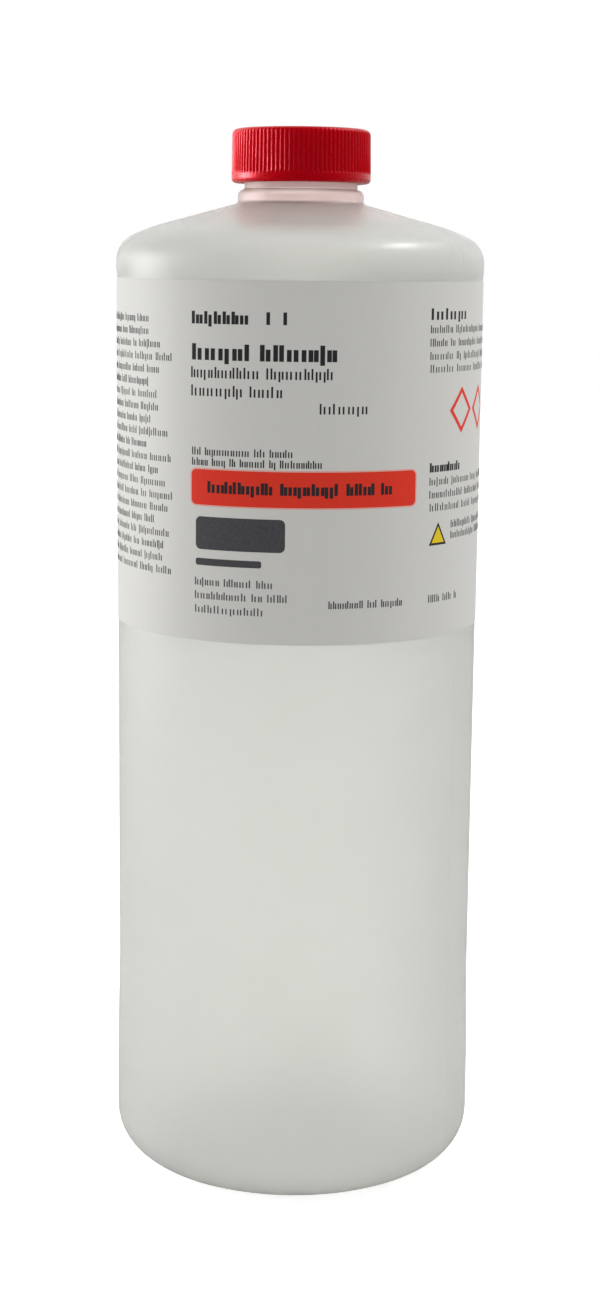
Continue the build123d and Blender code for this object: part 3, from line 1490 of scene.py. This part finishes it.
@dataclass(frozen=True)
class StudioWhite(Finish):
    """A white paper sweep, overexposed so that it is seen as pure white.

    What is seen of it glows up to white. It throws a little of that glow on the bottle's foot, and shines
    through the milky wall as a lit table would.
    """

    name: str = "studio_paper_white"
    colour: str = "#D0D0D0"
    glow: float = 0.75
    glow_thrown: float = 0.18
    glow_through: float = 2.1
    fibre_mm: float = 2.0

    def sockets(self, tree: bpy.types.NodeTree, place: bpy.types.NodeSocket) -> SocketContents:
        """Gives the paper its white, its faint fibre and its glow, which depends on the kind of ray.

        Args:
            tree: The material's node tree.
            place: The object's own coordinates, in metres.

        Returns:
            What goes into the shader's sockets.
        """
        fibre = add_noise(tree, place, self.fibre_mm, 2.0)
        ray = add_node(tree, "ShaderNodeLightPath").outputs
        links = {0: ray["Is Camera Ray"]}
        glow = add_node(tree, "ShaderNodeMath", {1: self.glow}, links, operation="MULTIPLY")
        for share, kind in ((self.glow_thrown, "Is Diffuse Ray"), (self.glow_through, "Is Transmission Ray")):
            links = {0: ray[kind], 2: glow.outputs["Value"]}
            glow = add_node(tree, "ShaderNodeMath", {1: share}, links, operation="MULTIPLY_ADD")
        return {
            "Base Color": linear_colour(self.colour),
            "Roughness": add_range(tree, fibre, (0.0, 1.0), (0.85, 0.95)),
            "Specular IOR Level": 0.1,
            "Emission Color": (1.0, 1.0, 1.0, 1.0),
            "Emission Strength": glow.outputs["Value"],
        }


@dataclass(frozen=True)
class SoftBox:
    """A soft light: where it stands and what it faces, in metres, its size and its power in watts.

    A light can be flagged off, as with black card, so that it falls on one piece and on nothing else.
    """

    name: str
    place: tuple[float, float, float]
    target: tuple[float, float, float]
    width: float
    height: float
    power: float
    only_for: str = ""

    def build(self) -> bpy.types.Object:
        """Sets up the light, its long side upright.

        Returns:
            The light.
        """
        lamp = bpy.data.lights.new(self.name, "AREA")
        lamp.shape = "RECTANGLE"
        lamp.size, lamp.size_y = self.width, self.height
        lamp.energy = self.power
        light = bpy.data.objects.new(self.name, lamp)
        towards = Vector(self.target) - Vector(self.place)
        light.location = self.place
        light.rotation_mode = "QUATERNION"
        light.rotation_quaternion = towards.to_track_quat("-Z", "Y")
        light.visible_camera = False
        if self.only_for:
            lit = bpy.data.collections.new(f"{self.name}_falls_on")
            lit.objects.link(bpy.data.objects[self.only_for])
            light.light_linking.receiver_collection = lit
        bpy.context.scene.collection.objects.link(light)
        return light


@dataclass
class Studio:
    """A pale floor, a white room, soft lights and the camera.

    The room is brighter behind the bottle and to its left than in front. It is pure white where it is seen,
    and what comes through the milky wall from it is brighter still, as from the lit backdrop that glows
    through such a bottle. Only the room and the floor ask what kind of ray meets them. The bottle's own
    materials never do.
    """

    floor_half: float = 3.0
    floor_gap_mm: float = 0.02
    room_dim: float = 0.48
    room_bright: float = 1.02
    room_bright_side: tuple[float, float, float] = (-0.25, 0.97, 0.0)
    through_left: float = 1.7
    through_right: float = 2.4
    camera_place: tuple[float, float, float] = (0.0, -0.5047, 0.2082)
    camera_yaw: float = 0.097
    camera_down: float = 10.18
    camera_roll: float = -0.6
    lens: float = 61.14
    sensor: float = 36.0
    clip: tuple[float, float] = (0.02, 20.0)
    bounces: int = 28
    diffuse_bounces: int = 10
    paper: StudioWhite = field(default_factory=StudioWhite)
    lights: tuple[SoftBox, ...] = (
        SoftBox("key_soft_box_left", (-0.9, 0.25, 0.24), (0.0, 0.0, 0.14), 0.6, 0.5, 3.3),
        SoftBox("small_soft_box_right", (0.55, 0.05, 0.9), (0.0, 0.0, 0.2), 0.34, 0.12, 2.7),
        SoftBox("cap_light_left", (-0.42, 0.08, 0.26), (0.0, 0.0, 0.23), 0.2, 0.2, 1.4, "ribbed_cap"),
    )

    def build_floor(self) -> bpy.types.Object:
        """Lays the floor, a plain square, just under the bottle's foot.

        Returns:
            The floor.
        """
        far = self.floor_half / MM
        corners = np.array([[-far, -far, 0.0], [far, -far, 0.0], [far, far, 0.0], [-far, far, 0.0]])
        corners[:, 2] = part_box("bottle")[0].z / MM - self.floor_gap_mm
        floor = make_piece("studio_floor", corners, (np.array([[0, 1, 2, 3]]),))
        floor.data.materials.append(self.paper.material())
        return floor

    def build_room(self) -> None:
        """Lights the room with one white background, stronger on one side and through milky walls."""
        world = bpy.data.worlds.new("white_room")
        world.use_nodes = True
        bpy.context.scene.world = world
        tree = world.node_tree
        tree.nodes.clear()
        way = add_node(tree, "ShaderNodeTexCoord").outputs["Generated"]
        towards = add_node(
            tree, "ShaderNodeVectorMath", {1: self.room_bright_side}, {0: way}, operation="DOT_PRODUCT"
        )
        room = (self.room_dim, self.room_bright)
        level = add_range(tree, towards.outputs["Value"], (-0.6, 0.9), room, "SMOOTHSTEP")
        across = add_node(tree, "ShaderNodeSeparateXYZ", links={0: way}).outputs["X"]
        backlight = add_range(tree, across, (-0.6, 0.6), (self.through_left, self.through_right))
        ray = add_node(tree, "ShaderNodeLightPath").outputs
        levels = {0: ray["Is Transmission Ray"], 2: level, 3: backlight}
        through = add_node(tree, "ShaderNodeMix", links=levels, data_type="FLOAT").outputs[0]
        levels = {0: ray["Is Camera Ray"], 2: through}
        seen = add_node(tree, "ShaderNodeMix", {3: 1.0}, levels, data_type="FLOAT")
        white = (1.0, 1.0, 1.0, 1.0)
        sky = add_node(tree, "ShaderNodeBackground", {"Color": white}, {"Strength": seen.outputs[0]})
        add_node(tree, "ShaderNodeOutputWorld", links={"Surface": sky.outputs["Background"]})
        world.cycles.sampling_method = "NONE"

    def build_camera(self) -> bpy.types.Object:
        """Stands the camera in front of the bottle, a little above its shoulder and looking down.

        Returns:
            The camera.
        """
        yaw, down, roll = (math.radians(a) for a in (self.camera_yaw, self.camera_down, self.camera_roll))
        ahead = Vector((math.sin(yaw) * math.cos(down), math.cos(yaw) * math.cos(down), -math.sin(down)))
        right = Vector((math.cos(yaw), -math.sin(yaw), 0.0))
        above = right.cross(ahead)
        across = math.cos(roll) * right - math.sin(roll) * above
        upright = math.sin(roll) * right + math.cos(roll) * above
        camera = bpy.data.objects.new("camera", bpy.data.cameras.new("camera"))
        camera.data.sensor_width = self.sensor
        camera.data.lens = self.lens
        camera.data.clip_start, camera.data.clip_end = self.clip
        turn = Matrix((across, upright, -ahead)).transposed().to_4x4()
        camera.matrix_world = Matrix.Translation(self.camera_place) @ turn
        bpy.context.scene.collection.objects.link(camera)
        bpy.context.scene.camera = camera
        return camera

    def build(self) -> None:
        """Builds floor, room, lights and camera, and lets light cross the milky walls often."""
        bpy.context.scene.view_settings.view_transform = "Standard"
        cycles = bpy.context.scene.cycles
        cycles.max_bounces = cycles.transmission_bounces = self.bounces
        cycles.diffuse_bounces = self.diffuse_bounces
        self.build_floor()
        self.build_room()
        for light in self.lights:
            light.build()
        self.build_camera()


# ---- Building it all ----


def main() -> None:
    """Loads the frame, builds every piece on it, and sets up the studio round it."""
    logging.basicConfig(level=logging.INFO, format="%(name)s: %(message)s")
    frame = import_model()
    BottleShell().build()
    RibbedCap().build()
    FoamLiner().dress(frame["nodes"]["cap_liner"])
    label = WrapLabel()
    label.build()
    for piece in LabelPrint(label.sizes()[2]).build():
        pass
    Studio().build()


if __name__ == "__main__":
    main()
